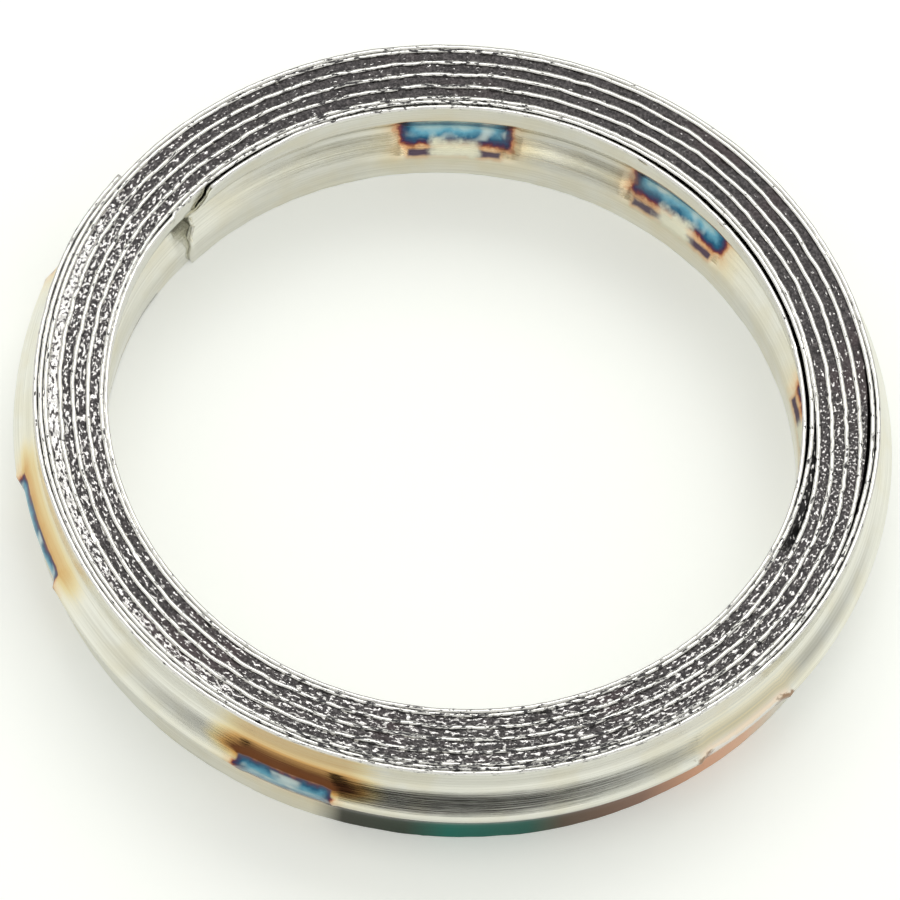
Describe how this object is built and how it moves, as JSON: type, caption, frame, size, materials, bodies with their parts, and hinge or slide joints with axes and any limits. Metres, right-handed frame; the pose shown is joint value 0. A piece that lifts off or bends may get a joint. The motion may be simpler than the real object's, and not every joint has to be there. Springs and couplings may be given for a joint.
{
  "type": "spiral wound gasket",
  "caption": "Ring gasket for an exhaust flange joint, wound from V-section steel strip with graphite filler between its turns, spot welded inside and outside.",
  "frame": {"origin": "on the axis of the bore, on the lower sealing face", "axes": "+Z along the bore axis to the upper sealing face; +X points to the side where the filler strip ends"},
  "size_m": [0.043, 0.043, 0.0063],
  "materials": {
    "steel": "bright rolled stainless strip, heat tinted round the spot welds",
    "graphite": "matt charcoal graphite, crumbly, with smeared metal flecks"
  },
  "bodies": {
    "root": {"metal_strip": "steel", "filler_strip": "graphite"}
  },
  "joints": []
}
